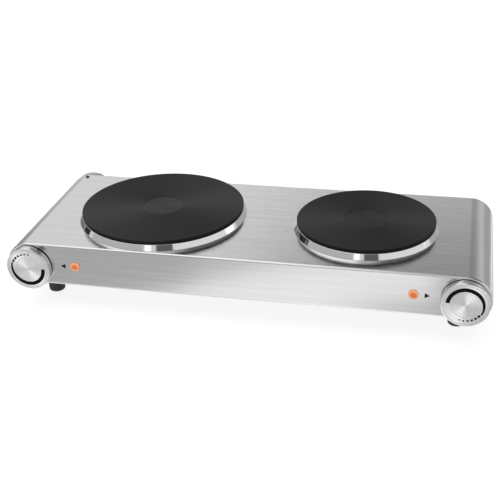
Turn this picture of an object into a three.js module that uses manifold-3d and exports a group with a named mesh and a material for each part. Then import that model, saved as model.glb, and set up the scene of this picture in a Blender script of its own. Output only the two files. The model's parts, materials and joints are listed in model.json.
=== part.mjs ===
// Double electric hot plate: a long low stainless-steel housing with two round ends,
// a large and a small cast-iron plate in bright trim rings, and a metal control knob
// on the front of each round end.
//
// Millimetres, +Z up, front face towards -Y. The origin is on the table, at the middle
// of the footprint. Every mesh is one piece that comes off by itself on a bench.

import * as THREE from 'three';
import { mergeVertices } from 'three/addons/utils/BufferGeometryUtils.js';
import Module from 'manifold-3d';

const wasm = await Module();
wasm.setup();

// ---------------------------------------------------------------- driving dimensions

// Housing: one pressed sheet with a flat top, flat front and rear, and round ends.
const bodyLength = 533; // over both round ends
const bodyDepth = 200; // front face to rear face
const bodyTop = 80; // top of the sheet above the table
const endRadius = 27.5; // outside of each round end
const lipRise = 6; // the flat bottom edge stands this far above the round ends
const sheet = 1.2; // steel sheet of the housing and of the base plate
const edgeBend = 2.5; // outside radius of the bend round the front and rear faces
const gap = 0.3; // air between two pieces that touch on the real thing

// Hot plates.
const largeRadius = 94;
const largeFromEnd = 127.5; // its centre, in from the axis of the left round end
const smallRadius = 77.5;
const smallFromEnd = 113.7; // its centre, in from the axis of the right round end
const plateRise = 10.4; // cooking face above the top sheet
const plateSide = 3.9; // bare side of the plate above its trim ring
const plateWeb = 8; // iron between cooking face and winding
const plateStep = 2; // the iron steps in by this much where the trim ring laps it
const skirtOutside = 6; // from the plate's edge to the outside of its skirt
const skirtInset = 12; // from the plate's edge to the inside of its skirt
const skirtDrop = 4; // the skirt ends this far below the top sheet
const holeInset = 4.5; // the hole in the top sheet is this much smaller than its plate
const trimFlare = 3.5; // the ring's foot is this much wider than its plate
const trimSheet = 0.9;
const trimLap = 1.7; // the ring's top turns in this far over the plate's step
const dishRadius = 23.5; // shallow disc in the middle of the cooking face
const dishDepth = 0.5;
const windingBore = 18; // radius of the hole in the middle of the winding
const windingThick = 2.7;

// Clamping of a plate: stud in a boss, bar across the opening, nut.
const studRadius = 4;
const studDrop = 24; // the stud's lower end, below the top sheet
const bossRadius = 8;
const bossDrop = 8; // the boss ends this far below the top sheet
const studSeat = 7; // depth of the stud's hole in the boss
const clampDrop = 11.5; // top of the bar below the top sheet
const clampThick = 2.5;
const clampWidth = 24;
const clampReach = 4; // the bar's legs stand this far outside the plate's edge
const studNutAcross = 13;
const studNutThick = 6.5;

// Controls, on the axis of each round end.
const knobInset = 2.25; // the knob is this much smaller than the round end
const knobDepth = 8.2; // rim to face
const knobStandOff = 0.8; // shadow gap between knob and front face
const knobWall = 1;
const shaftRadius = 3;
const shaftFlat = 2.1; // from the shaft's axis to its flat
const bushRadius = 5;
const regulatorRoom = 2.26; // from the regulator's corners to the inside of the round end
const regulatorLength = 28;

// Signal lamps on the front face.
const lampFromEnd = 53; // in from the axis of the round end
const lampDrop = 24.6; // below the top sheet
const lensRadius = 5.5;
const lensDome = 1.6;
const neckRadius = 3.9;
const holderRadius = 6;
const holderLength = 14.5;
const bulbRadius = 2.6;

// Feet, under the round ends.
const footFromEnd = 7.5; // in from the axis of the round end
const footFromFace = 42; // in from the front or rear face
const footRadius = 10.2;
const footTaper = 0.9; // the sole is this much narrower
const footSink = 0.8; // its top edge stands this far below the bottom edge of the faces
const footScrewRadius = 2;
const recessRadius = 4.6; // the hollow in the sole for the screw's head
const recessDepth = 10;

// Cord entry cap on the rear of the left round end.
const capInset = 1.2; // the cap is this much smaller than the round end
const capPlay = 1.7; // between the cap's spigot and the inside of the round end
const capSpigotLength = 18;
const capWall = 2.5;
const glandRadius = 6.7;
const cordBore = 3.6;
const capScrewOut = 2; // outward from the axis of the round end
const capScrewInset = 11; // in front of the rear face
const capScrewRadius = 1.4;

// Base plate fixings and wiring.
const flangeWidth = 10;
const flangeFromEnd = 39; // the flanges end this far in from the axes of the round ends
const baseScrewFromEnd = 89;
const baseScrewRadius = 1.6;
const wireRadius = 1.2;
const leadY = -40; // where the two leads of a plate go up through its cover dish
const leadApart = 3.2; // each lead's distance from the plate's middle there

// Cutting tools run this far past what they cut.
const past = 2;

// ---------------------------------------------------------------- derived places

const endX = bodyLength / 2 - endRadius;
const endZ = bodyTop - endRadius;
const faceBottom = bodyTop - 2 * endRadius + lipRise;
const lipX = endX - Math.sqrt(endRadius ** 2 - (endRadius - lipRise) ** 2);
const front = -bodyDepth / 2;
const rear = bodyDepth / 2;
const innerFront = front + sheet;
const innerRear = rear - sheet;
const innerTop = bodyTop - sheet;
const lampZ = bodyTop - lampDrop;
const baseTop = faceBottom + sheet;
const knobFace = front - knobStandOff - knobDepth;
const capFace = rear + knobStandOff + knobDepth;
const hotplates = [
  { name: 'large', radius: largeRadius, x: largeFromEnd - endX },
  { name: 'small', radius: smallRadius, x: endX - smallFromEnd },
];
const knobRadius = endRadius - knobInset;
const regulatorSize = Math.SQRT2 * (endRadius - sheet - regulatorRoom); // a square body's side
const lampX = endX - lampFromEnd;
const footX = endX - footFromEnd;
const footY = rear - footFromFace;
const capRadius = endRadius - capInset;
const capSpigotRadius = endRadius - sheet - capPlay;
const capScrewX = -endX - capScrewOut;
const capScrewY = rear - capScrewInset;
const flangeLength = 2 * (endX - flangeFromEnd);
const baseScrewX = endX - baseScrewFromEnd;
const clampTop = bodyTop - clampDrop;

// ---------------------------------------------------------------- materials

const steel = (color, roughness) =>
  new THREE.MeshStandardMaterial({ color, roughness, metalness: 1 });
const plain = (color, roughness) =>
  new THREE.MeshStandardMaterial({ color, roughness, metalness: 0 });

const brushedSteel = steel(0xb9babb, 0.35);
const galvanised = steel(0x9ea3a6, 0.5);
const chrome = steel(0xd8dadb, 0.12);
const castIron = plain(0x26282a, 0.55);
const spunAluminium = steel(0xc9cacb, 0.25);
const zincScrew = steel(0xa9acae, 0.4);
const brass = steel(0xc2a55a, 0.35);
const blackRubber = plain(0x161616, 0.85);
const blackPlastic = plain(0x1b1b1c, 0.5);
const whiteCeramic = plain(0xd9d6cc, 0.8);
const amberLens = plain(0xf07a32, 0.2);
const glass = plain(0xe8b9a0, 0.1);
const wireSleeve = plain(0xcfcabb, 0.7);

// ---------------------------------------------------------------- solids

/** Welds a geometry and drops its flat triangles; only positions are kept. */
function weld(geometry) {
  const bare = geometry.clone();
  bare.deleteAttribute('normal');
  bare.deleteAttribute('uv');
  const merged = mergeVertices(bare, 1e-4);
  const source = merged.index.array;
  const kept = [];
  for (let i = 0; i < source.length; i += 3) {
    const [a, b, c] = [source[i], source[i + 1], source[i + 2]];
    if (a !== b && b !== c && c !== a) kept.push(a, b, c);
  }
  merged.setIndex(kept);
  return merged;
}

/** Six times the signed volume: negative where the faces point inwards. */
function signedVolume(geometry) {
  const place = geometry.attributes.position;
  const index = geometry.index.array;
  const [a, b, c] = [new THREE.Vector3(), new THREE.Vector3(), new THREE.Vector3()];
  let sum = 0;
  for (let i = 0; i < index.length; i += 3) {
    a.fromBufferAttribute(place, index[i]);
    b.fromBufferAttribute(place, index[i + 1]);
    c.fromBufferAttribute(place, index[i + 2]);
    sum += a.dot(b.cross(c));
  }
  return sum;
}

/** A closed geometry as a manifold solid, with its faces turned outwards. */
function solid(geometry) {
  const welded = weld(geometry);
  const index = Array.from(welded.index.array);
  if (signedVolume(welded) < 0) index.reverse();
  return new wasm.Manifold(
    new wasm.Mesh({
      numProp: 3,
      vertProperties: new Float32Array(welded.attributes.position.array),
      triVerts: new Uint32Array(index),
    }),
  );
}

const cut = (body, ...tools) => tools.reduce((left, tool) => left.subtract(tool), body);
const join = (body, ...others) => others.reduce((sum, other) => sum.add(other), body);

const hotPlate = new THREE.Group();

/** Adds a solid to the model as one named piece. */
function piece(name, body, material) {
  const mesh = body.getMesh();
  const geometry = new THREE.BufferGeometry();
  geometry.setAttribute('position', new THREE.BufferAttribute(mesh.vertProperties, 3));
  geometry.setIndex(new THREE.BufferAttribute(mesh.triVerts, 1));
  geometry.computeVertexNormals();
  const node = new THREE.Mesh(geometry, material);
  node.name = name;
  hotPlate.add(node);
}

/** A box from its two opposite corners. */
function block(x0, x1, y0, y1, z0, z1) {
  const geometry = new THREE.BoxGeometry(x1 - x0, y1 - y0, z1 - z0);
  geometry.translate((x0 + x1) / 2, (y0 + y1) / 2, (z0 + z1) / 2);
  return solid(geometry);
}

/** A flat outline in X and Z, pushed along Y; bevel rounds both end edges. */
function pushedAlongY(shape, y0, y1, bevel = 0, curveSegments = 9) {
  const geometry = new THREE.ExtrudeGeometry(shape, {
    depth: y1 - y0 - 2 * bevel,
    curveSegments,
    bevelEnabled: bevel > 0,
    bevelThickness: bevel,
    bevelSize: bevel,
    bevelOffset: -bevel,
    bevelSegments: 3,
  });
  geometry.rotateX(Math.PI / 2);
  geometry.translate(0, y1 - bevel, 0);
  return solid(geometry);
}

/** A flat outline in X and Y, pushed up along Z. */
function pushedUp(shape, z0, z1, curveSegments = 6) {
  const geometry = new THREE.ExtrudeGeometry(shape, {
    depth: z1 - z0,
    curveSegments,
    bevelEnabled: false,
  });
  geometry.translate(0, 0, z0);
  return solid(geometry);
}

const points = (pairs) => pairs.map(([r, h]) => new THREE.Vector2(r, h));

/** A profile of [radius, z] pairs turned about the vertical through x, y. */
function turnedUpright(profile, x, y, segments = 24) {
  const geometry = new THREE.LatheGeometry(points(profile), segments);
  geometry.rotateX(Math.PI / 2);
  geometry.translate(x, y, 0);
  return solid(geometry);
}

/** A profile of [radius, y] pairs turned about the line along Y through x, z. */
function turnedAlongY(profile, x, z, segments = 24) {
  const geometry = new THREE.LatheGeometry(points(profile), segments);
  geometry.translate(x, 0, z);
  return solid(geometry);
}

/** A plain pin or drill along Z. */
function upright(radius, x, y, z0, z1, segments = 16) {
  return turnedUpright([[0, z0], [radius, z0], [radius, z1], [0, z1]], x, y, segments);
}

/** A plain pin or drill along Y. */
function level(radius, x, z, y0, y1, segments = 16) {
  return turnedAlongY([[0, y0], [radius, y0], [radius, y1], [0, y1]], x, z, segments);
}

/** A hexagon outline, across flats, round a point. */
function hexagon(acrossFlats, x, y) {
  const corner = acrossFlats / Math.sqrt(3);
  const shape = new THREE.Shape();
  for (let i = 0; i < 6; i += 1) {
    const turn = (i * Math.PI) / 3;
    const [px, py] = [x + corner * Math.cos(turn), y + corner * Math.sin(turn)];
    if (i === 0) shape.moveTo(px, py);
    else shape.lineTo(px, py);
  }
  return shape;
}

/** A round shaft's outline with one flat on top, about the point x, z. */
function shaftOutline(radius, flat, x, z) {
  const half = Math.asin(flat / radius);
  const shape = new THREE.Shape();
  shape.absarc(x, z, radius, half, Math.PI - half, true);
  return shape;
}

// ---------------------------------------------------------------- housing

/** The housing seen from the front, taken in by inset: round ends, flat top and bottom. */
function bodyOutline(inset) {
  const radius = endRadius - inset;
  const lip = Math.asin((endRadius - lipRise) / radius);
  const shape = new THREE.Shape();
  shape.absarc(endX, endZ, radius, Math.PI + lip, 2.5 * Math.PI, false);
  shape.absarc(-endX, endZ, radius, Math.PI / 2, 2 * Math.PI - lip, false);
  return shape;
}

function housingShell() {
  const outside = pushedAlongY(bodyOutline(0), front, rear, edgeBend);
  const hollow = pushedAlongY(bodyOutline(sheet), innerFront, innerRear);
  const mouth = block(-lipX, lipX, innerFront, innerRear, faceBottom - past, faceBottom + past);
  const half = flangeLength / 2;
  const flangeBase = baseTop + gap;
  const flangeTop = flangeBase + sheet;
  const overlap = sheet / 2; // sinks each flange into the face that carries it
  const flanges = [
    block(-half, half, front + overlap, innerFront + flangeWidth, flangeBase, flangeTop),
    block(-half, half, innerRear - flangeWidth, rear - overlap, flangeBase, flangeTop),
  ];
  const holes = [];
  for (const { radius, x } of hotplates) {
    holes.push(upright(radius - holeInset, x, 0, innerTop - past, bodyTop + past, 48));
  }
  for (const side of [-1, 1]) {
    holes.push(level(bushRadius + 0.4, side * endX, endZ, front - past, innerFront + past));
    const lampHole = neckRadius + gap;
    holes.push(level(lampHole, side * lampX, lampZ, front - past, innerFront + past));
    for (const end of [-1, 1]) {
      const clearance = footScrewRadius + gap;
      holes.push(upright(clearance, side * footX, end * footY, 0, faceBottom + past, 16));
      const screwY = end * (innerRear - flangeWidth / 2);
      const hole = baseScrewRadius + gap;
      holes.push(upright(hole, side * baseScrewX, screwY, faceBottom, flangeTop + past, 12));
    }
  }
  holes.push(level(capSpigotRadius + gap, -endX, endZ, innerRear - past, rear + past, 36));
  holes.push(upright(capScrewRadius + gap, capScrewX, capScrewY, innerTop - past, bodyTop + past, 12));
  return cut(join(cut(outside, hollow, mouth), ...flanges), ...holes);
}

function basePlate() {
  const half = lipX - 2 * gap;
  let plate = block(-half, half, innerFront + gap, innerRear - gap, faceBottom, baseTop);
  for (const side of [-1, 1]) {
    for (const end of [-1, 1]) {
      const y = end * (innerRear - flangeWidth / 2);
      const hole = upright(baseScrewRadius + gap, side * baseScrewX, y, 0, baseTop + past, 12);
      plate = plate.subtract(hole);
    }
  }
  const slotCount = 7;
  const slotPitch = 14;
  const slotWidth = 4;
  const slotShare = 0.62; // of the plate's own width there
  for (const { radius, x } of hotplates) {
    for (let i = 0; i < slotCount; i += 1) {
      const y = (i - (slotCount - 1) / 2) * slotPitch;
      const reach = slotShare * Math.sqrt(radius ** 2 - y ** 2);
      plate = plate.subtract(
        block(x - reach, x + reach, y - slotWidth / 2, y + slotWidth / 2, 0, baseTop + past),
      );
    }
  }
  return plate;
}

/** A rubber foot whose top is hollowed to sit on the round end. */
function foot(x, y) {
  const top = faceBottom - footSink;
  const sole = footRadius - footTaper;
  const profile = [[0, 0], [sole - 1.5, 0], [sole, 1.5], [footRadius, top], [0, top]];
  const roundEnd = level(
    endRadius + gap, Math.sign(x) * endX, endZ, y - footRadius - past, y + footRadius + past, 48,
  );
  const recess = upright(recessRadius, x, y, -past, recessDepth, 12);
  const hole = upright(footScrewRadius + gap, x, y, -past, top + past, 10);
  return cut(turnedUpright(profile, x, y, 16), roundEnd, recess, hole);
}

const headWide = 1.9; // a pan head's radius, in shank radii
const headHigh = 0.9; // its height, in shank radii

/** A screw from below: pan head at headZ, shank up to tipZ. */
function screwUp(x, y, radius, headZ, tipZ) {
  const head = headWide * radius;
  const neck = headZ + headHigh * radius;
  const profile = [
    [0, headZ], [head - 0.5, headZ], [head, headZ + 0.5], [head, neck],
    [radius, neck], [radius, tipZ - 1], [radius - 0.6, tipZ], [0, tipZ],
  ];
  return turnedUpright(profile, x, y, 8);
}

piece('housing_shell', housingShell(), brushedSteel);
piece('base_plate', basePlate(), galvanised);

for (const [end, y] of [['front', -footY], ['rear', footY]]) {
  for (const [side, x] of [['left', -footX], ['right', footX]]) {
    piece(`foot_${end}_${side}`, foot(x, y), blackRubber);
    const headZ = recessDepth - gap - headHigh * footScrewRadius;
    const tipZ = faceBottom + 5;
    piece(`foot_screw_${end}_${side}`, screwUp(x, y, footScrewRadius, headZ, tipZ), zincScrew);
  }
}

for (const [end, sign] of [['front', -1], ['rear', 1]]) {
  for (const [side, x] of [['left', -baseScrewX], ['right', baseScrewX]]) {
    const y = sign * (innerRear - flangeWidth / 2);
    const headZ = faceBottom - gap - headHigh * baseScrewRadius;
    const tipZ = baseTop + 7;
    piece(`base_screw_${end}_${side}`, screwUp(x, y, baseScrewRadius, headZ, tipZ), zincScrew);
  }
}

// ---------------------------------------------------------------- cord entry

/** The round cap that closes the left end from behind; its spigot goes into the end. */
function cordCap() {
  const spigotEnd = rear - capSpigotLength;
  const profile = [
    [glandRadius + gap, capFace], [capRadius - 1.5, capFace], [capRadius, capFace - 1.5],
    [capRadius, rear + gap], [capSpigotRadius, rear + gap], [capSpigotRadius, spigotEnd],
    [capSpigotRadius - capWall, spigotEnd], [capSpigotRadius - capWall, capFace - capWall],
    [glandRadius + gap, capFace - capWall], [glandRadius + gap, capFace],
  ];
  const screwHole = upright(capScrewRadius + gap, capScrewX, capScrewY, endZ, bodyTop, 12);
  return cut(turnedAlongY(profile, -endX, endZ, 32), screwHole);
}

/** A rubber gland in the cap's middle, with a lip behind the wall. */
function cordGland() {
  const lipFace = capFace - capWall - gap;
  const profile = [
    [cordBore, capFace], [glandRadius, capFace], [glandRadius, lipFace],
    [glandRadius + 2.5, lipFace], [glandRadius + 2.5, lipFace - 2], [cordBore, lipFace - 2],
    [cordBore, capFace],
  ];
  return turnedAlongY(profile, -endX, endZ, 16);
}

/** The small dark screw that holds the cap's spigot, driven in from the top. */
function capScrew() {
  const seat = bodyTop + gap;
  const head = capScrewRadius + 0.9;
  const tip = bodyTop - 10.5;
  const profile = [
    [0, tip], [capScrewRadius, tip], [capScrewRadius, seat], [head, seat], [head, seat + 0.5],
    [head - 0.5, seat + 0.9], [0, seat + 0.9],
  ];
  return turnedUpright(profile, capScrewX, capScrewY, 12);
}

piece('cord_cap', cordCap(), galvanised);
piece('cord_gland', cordGland(), blackRubber);
piece('cord_cap_screw', capScrew(), blackPlastic);

// ---------------------------------------------------------------- hot plates

/** The iron plate: cooking face, stepped rim, skirt, and a boss for the stud. */
function ironPlate(radius, x) {
  const face = bodyTop + plateRise;
  const step = face - plateSide;
  const skirt = bodyTop - skirtDrop;
  const web = face - plateWeb;
  const boss = bodyTop - bossDrop;
  const profile = [
    [0, face - dishDepth], [dishRadius, face - dishDepth], [dishRadius + dishDepth, face],
    [radius - 1, face], [radius - 0.3, face - 0.3], [radius, face - 1], [radius, step],
    [radius - plateStep, step], [radius - plateStep, bodyTop + 1],
    [radius - skirtOutside, bodyTop + 1], [radius - skirtOutside, skirt],
    [radius - skirtInset, skirt], [radius - skirtInset, web],
    [bossRadius, web], [bossRadius, boss], [studRadius + gap, boss],
    [studRadius + gap, boss + studSeat], [0, boss + studSeat],
  ];
  return turnedUpright(profile, x, 0, 48);
}

/** The bright ring round the plate: a leaning wall, a turned-in top and a thin foot. */
function trimRing(radius, x) {
  const top = bodyTop + plateRise - plateSide - gap;
  const foot = bodyTop + gap;
  const profile = [
    [radius - trimLap, top], [radius + 0.2, top], [radius + 0.5, top - 0.3],
    [radius + trimFlare - 1, foot + 1], [radius + trimFlare, foot + 0.5],
    [radius + trimFlare, foot], [radius + trimFlare - 1.4, foot],
    [radius + 0.5 - trimSheet, top - trimSheet], [radius - trimLap, top - trimSheet],
    [radius - trimLap, top],
  ];
  return turnedUpright(profile, x, 0, 48);
}

/** The resistance winding in its ceramic bed, a flat ring under the iron. */
function winding(radius, x) {
  const top = bodyTop + plateRise - plateWeb - gap;
  const low = top - windingThick;
  const outer = radius - skirtInset - 4;
  const profile = [
    [windingBore, top], [outer, top], [outer, low], [windingBore, low], [windingBore, top],
  ];
  return turnedUpright(profile, x, 0, 28);
}

/** The thin steel dish that closes the skirt from below, with a hole for the leads. */
function coverDish(radius, x) {
  const outer = radius - skirtInset - 0.6;
  const inner = bossRadius + 0.6;
  const low = bodyTop - skirtDrop + 0.4;
  const high = low + 1;
  const profile = [[inner, low], [outer, low], [outer, high], [inner, high], [inner, low]];
  const leadHole = upright(leadApart + wireRadius + 1.6, x, leadY, low - past, high + past, 12);
  return cut(turnedUpright(profile, x, 0, 28), leadHole);
}

/** The bar that pulls the plate down: its two legs press up against the top sheet. */
function clampBar(radius, x) {
  const reach = radius + clampReach;
  const low = clampTop - clampThick;
  const half = clampWidth / 2;
  const leg = (side) => {
    const outer = x + side * reach;
    const inner = outer - side * clampThick;
    const [x0, x1] = [Math.min(inner, outer), Math.max(inner, outer)];
    return block(x0, x1, -half, half, low, innerTop - gap);
  };
  const bar = block(x - reach, x + reach, -half, half, low, clampTop);
  const hole = upright(studRadius + 2 * gap, x, 0, low - past, clampTop + past);
  return cut(join(bar, leg(-1), leg(1)), hole);
}

function studNut(x) {
  const top = clampTop - clampThick - gap;
  const low = top - studNutThick;
  const bore = upright(studRadius + gap, x, 0, low - past, top + past, 12);
  return cut(pushedUp(hexagon(studNutAcross, x, 0), low, top), bore);
}

for (const { name, radius, x } of hotplates) {
  piece(`${name}_hotplate`, ironPlate(radius, x), castIron);
  piece(`${name}_trim_ring`, trimRing(radius, x), chrome);
  piece(`${name}_heating_winding`, winding(radius, x), whiteCeramic);
  piece(`${name}_cover_dish`, coverDish(radius, x), galvanised);
  piece(`${name}_clamp_bar`, clampBar(radius, x), galvanised);
  const studTop = bodyTop - bossDrop + studSeat - 0.5;
  const stud = upright(studRadius, x, 0, bodyTop - studDrop, studTop, 12);
  piece(`${name}_centre_stud`, stud, zincScrew);
  piece(`${name}_stud_nut`, studNut(x), zincScrew);
  const cutoutTop = bodyTop - skirtDrop + 0.4 - gap;
  const cutout = block(x + 24, x + 42, 20, 30, cutoutTop - 6, cutoutTop);
  piece(`${name}_thermal_cutout`, cutout, whiteCeramic);
}

// ---------------------------------------------------------------- controls

const nutThick = 2.5;
const nutAcross = 14;
const nutFace = front - gap - nutThick;
const bushEnd = nutFace - 0.2;
const boreEnd = innerFront + 16; // the blind end of the regulator's bore

/** The energy regulator: a square body in the round end and a bush through the front. */
function regulatorBody(x) {
  const half = regulatorSize / 2;
  const nose = innerFront + gap;
  const body = block(x - half, x + half, nose, nose + regulatorLength, endZ - half, endZ + half);
  const bush = level(bushRadius, x, endZ, bushEnd, nose + 1);
  const bore = level(shaftRadius + gap, x, endZ, bushEnd - past, boreEnd);
  return cut(join(body, bush), bore);
}

/** The nut that holds the regulator, hidden under the knob. */
function bushNut(x) {
  const shape = hexagon(nutAcross, x, endZ);
  const bore = level(bushRadius + gap, x, endZ, nutFace - past, front + past, 16);
  return cut(pushedAlongY(shape, nutFace, front - gap), bore);
}

const hubFace = knobFace + knobWall + gap;
const hubBack = hubFace + 1.5;
const hubBoss = 7; // radius of the boss round the spindle
const bossBack = bushEnd - 2 * gap;

/** The spindle: round in the regulator, with a flat where the knob is pushed on. */
function shaft(x) {
  const tip = hubFace + 0.5;
  const round = level(shaftRadius, x, endZ, bossBack, boreEnd - 1);
  const flatted = pushedAlongY(shaftOutline(shaftRadius, shaftFlat, x, endZ), tip, bossBack + 0.5, 0, 6);
  return join(round, flatted);
}

/** The metal knob: a shallow cup with a flat spun face and an eased edge. */
function knobCap(x) {
  const rim = front - knobStandOff;
  const profile = [
    [0, knobFace], [knobRadius - 0.8, knobFace], [knobRadius - 0.2, knobFace + 0.3],
    [knobRadius, knobFace + 0.9], [knobRadius, rim], [knobRadius - knobWall, rim],
    [knobRadius - knobWall, knobFace + knobWall], [0, knobFace + knobWall],
  ];
  return turnedAlongY(profile, x, endZ, 40);
}

/** The moulded insert that carries the knob on the spindle. */
function knobHub(x) {
  const rim = knobRadius - knobWall - gap;
  const profile = [
    [0, hubFace], [rim, hubFace], [rim, hubBack], [hubBoss, hubBack], [hubBoss, bossBack],
    [0, bossBack],
  ];
  const bore = shaftOutline(shaftRadius + gap, shaftFlat + gap, x, endZ);
  const socket = pushedAlongY(bore, hubFace - past, bossBack + past, 0, 6);
  return cut(turnedAlongY(profile, x, endZ, 20), socket);
}

// ---------------------------------------------------------------- signal lamps

/** A domed lens with a neck through the front face. */
function lampLens(x) {
  const seat = front - gap;
  const neckEnd = innerFront + 1.5;
  const profile = [
    [0, seat - 0.5 - lensDome], [lensRadius * 0.5, seat - 0.5 - lensDome * 0.82],
    [lensRadius * 0.85, seat - 0.5 - lensDome * 0.4], [lensRadius, seat - 0.5],
    [lensRadius, seat], [neckRadius, seat], [neckRadius, neckEnd], [0, neckEnd],
  ];
  return turnedAlongY(profile, x, lampZ, 18);
}

/** The sleeve behind the front face that holds lens and bulb. */
function lampHolder(x) {
  const nose = innerFront + gap;
  const tail = nose + holderLength;
  const bore = neckRadius + gap;
  const profile = [
    [bore, nose], [holderRadius, nose], [holderRadius, tail], [1, tail], [1, tail - 2],
    [bore, tail - 2], [bore, nose],
  ];
  return turnedAlongY(profile, x, lampZ, 16);
}

/** The neon bulb inside the sleeve. */
function lampBulb(x) {
  const tip = innerFront + 1.5 + gap;
  const tail = innerFront + gap + holderLength - 2 - gap;
  const profile = [
    [0, tip], [bulbRadius * 0.7, tip + 0.6], [bulbRadius, tip + 2], [bulbRadius, tail], [0, tail],
  ];
  return turnedAlongY(profile, x, lampZ, 10);
}

for (const [side, sign] of [['left', -1], ['right', 1]]) {
  const x = sign * endX;
  piece(`${side}_regulator`, regulatorBody(x), whiteCeramic);
  piece(`${side}_regulator_nut`, bushNut(x), brass);
  piece(`${side}_shaft`, shaft(x), zincScrew);
  piece(`${side}_knob`, knobCap(x), spunAluminium);
  piece(`${side}_knob_hub`, knobHub(x), blackPlastic);
  piece(`${side}_lamp_lens`, lampLens(sign * lampX), amberLens);
  piece(`${side}_lamp_holder`, lampHolder(sign * lampX), blackPlastic);
  piece(`${side}_lamp_bulb`, lampBulb(sign * lampX), glass);
}

// ---------------------------------------------------------------- wiring

const blockX = 15; // middle of the terminal block
const blockHalf = 20;
const blockFront = innerRear - 32;
const blockBack = innerRear - 18;
const blockTop = baseTop + gap + 12;

/** A sleeved lead along a smooth curve through the points. */
function lead(...places) {
  const curve = new THREE.CatmullRomCurve3(places.map((p) => new THREE.Vector3(...p)));
  const section = new THREE.Shape();
  section.absarc(0, 0, wireRadius, 0, 2 * Math.PI, false);
  return solid(
    new THREE.ExtrudeGeometry(section, {
      steps: 11, curveSegments: 3, bevelEnabled: false, extrudePath: curve,
    }),
  );
}

piece(
  'terminal_block',
  block(blockX - blockHalf, blockX + blockHalf, blockFront, blockBack, baseTop + gap, blockTop),
  whiteCeramic,
);
piece(
  'earth_screw',
  turnedUpright(
    [[0, baseTop + gap], [3.5, baseTop + gap], [3.5, baseTop + 2.5], [2, baseTop + 6], [0, baseTop + 6]],
    blockX + blockHalf + 14, blockFront, 12,
  ),
  brass,
);

const runZ = baseTop + 10; // height of the leads along the base
const windingLow = bodyTop + plateRise - plateWeb - gap - windingThick;
for (const [index, { name, x }] of hotplates.entries()) {
  const side = index === 0 ? -1 : 1;
  const regulatorBack = innerFront + gap + regulatorLength + gap;
  const [hubX, tag] = [side * endX, side * 6];
  piece(
    `${name}_live_lead`,
    lead(
      [blockX + side * 14, blockFront - gap, runZ], [blockX + side * 22, 40, runZ],
      [hubX - side * 24, 10, runZ], [hubX - tag, regulatorBack + 22, endZ - 4],
      [hubX - tag, regulatorBack, endZ - 4],
    ),
    wireSleeve,
  );
  piece(
    `${name}_switched_lead`,
    lead(
      [hubX, regulatorBack, endZ + 6], [hubX, regulatorBack + 14, endZ + 2],
      [x + side * 50, leadY - 4, endZ - 6], [x + side * 9, leadY, endZ - 2],
      [x + side * leadApart, leadY, windingLow - gap],
    ),
    wireSleeve,
  );
  piece(
    `${name}_neutral_lead`,
    lead(
      [blockX + side * 7, blockFront - gap, runZ], [blockX + side * 8, 30, runZ],
      [x - side * 24, leadY + 14, runZ], [x - side * 9, leadY, endZ - 8],
      [x - side * leadApart, leadY, windingLow - gap],
    ),
    wireSleeve,
  );
}

export default hotPlate;
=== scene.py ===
# %% [markdown]
# # A double electric hot plate
# The appliance is a long low housing of brushed stainless steel with two round ends. Two cast-iron
# plates stand on it in polished rings, and a metal knob closes the front of each round end.
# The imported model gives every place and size. This notebook adds the looks: finer shapes for the
# pieces that are seen, a finish for each material, and a plain pale studio.

import json
import math

import bmesh
import bpy
from mathutils import Matrix, Vector


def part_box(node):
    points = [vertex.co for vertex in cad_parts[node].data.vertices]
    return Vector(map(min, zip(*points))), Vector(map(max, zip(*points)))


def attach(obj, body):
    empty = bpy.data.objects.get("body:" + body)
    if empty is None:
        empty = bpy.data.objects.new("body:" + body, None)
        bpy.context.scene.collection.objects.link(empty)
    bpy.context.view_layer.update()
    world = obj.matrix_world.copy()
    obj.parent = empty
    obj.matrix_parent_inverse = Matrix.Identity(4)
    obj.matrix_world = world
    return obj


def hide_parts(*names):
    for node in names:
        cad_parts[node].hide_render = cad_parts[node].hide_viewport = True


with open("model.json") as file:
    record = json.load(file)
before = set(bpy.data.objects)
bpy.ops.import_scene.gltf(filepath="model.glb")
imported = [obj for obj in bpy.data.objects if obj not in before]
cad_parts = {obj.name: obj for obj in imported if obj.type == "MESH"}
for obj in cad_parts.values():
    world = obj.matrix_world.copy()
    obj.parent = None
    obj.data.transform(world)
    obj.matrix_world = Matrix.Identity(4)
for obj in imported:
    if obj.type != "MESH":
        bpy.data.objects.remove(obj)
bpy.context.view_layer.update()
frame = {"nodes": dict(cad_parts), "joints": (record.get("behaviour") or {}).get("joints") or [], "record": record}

# %% [markdown]
# ## Measures
# Shapes are drawn in millimetres, which are easy to read, and shrunk to metres when a piece is
# finished. Places are read from the frame, so that a piece goes where its node is. The two hinges
# give the axes of the round ends.

# %% Read the main sizes
MM = 1000.0  # millimetres in a metre


def corners(node):
    """Lowest and highest corner of a node, in millimetres."""
    low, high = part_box(node)
    return low * MM, high * MM


hinge = next(j for j in frame["joints"] if j["name"] == "right_knob_turn")
end_x, front, end_z = (c * MM for c in hinge["pos_m"])
top = corners("housing_shell")[1].z
rear = -front
end_radius = top - end_z
SIDES = (("left", -1), ("right", 1))  # the round ends, and the sign of their x
sheet = 1.2  # thickness of the steel
face_bottom = corners("base_plate")[0].z
print(f"round ends: radius {end_radius:.1f} at x {end_x:.1f}, z {end_z:.1f}; top {top:.1f}")

# %% [markdown]
# ## Two small tools for shapes
# Most pieces here are turned on a lathe in real life. The same is done in Blender: a few points
# give half of the section, and the spin operator takes them once round an axis.

# %% Chains of edges, and turning
UP, BACK = Vector((0, 0, 1)), Vector((0, 1, 0))


def chain(bm, points, closed=False):
    """Edges through the points, in order."""
    verts = [bm.verts.new(p) for p in points]
    ends = verts[1:] + verts[:1] if closed else verts[1:]
    for a, b in zip(verts, ends):
        bm.edges.new((a, b))
    return verts


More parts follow.
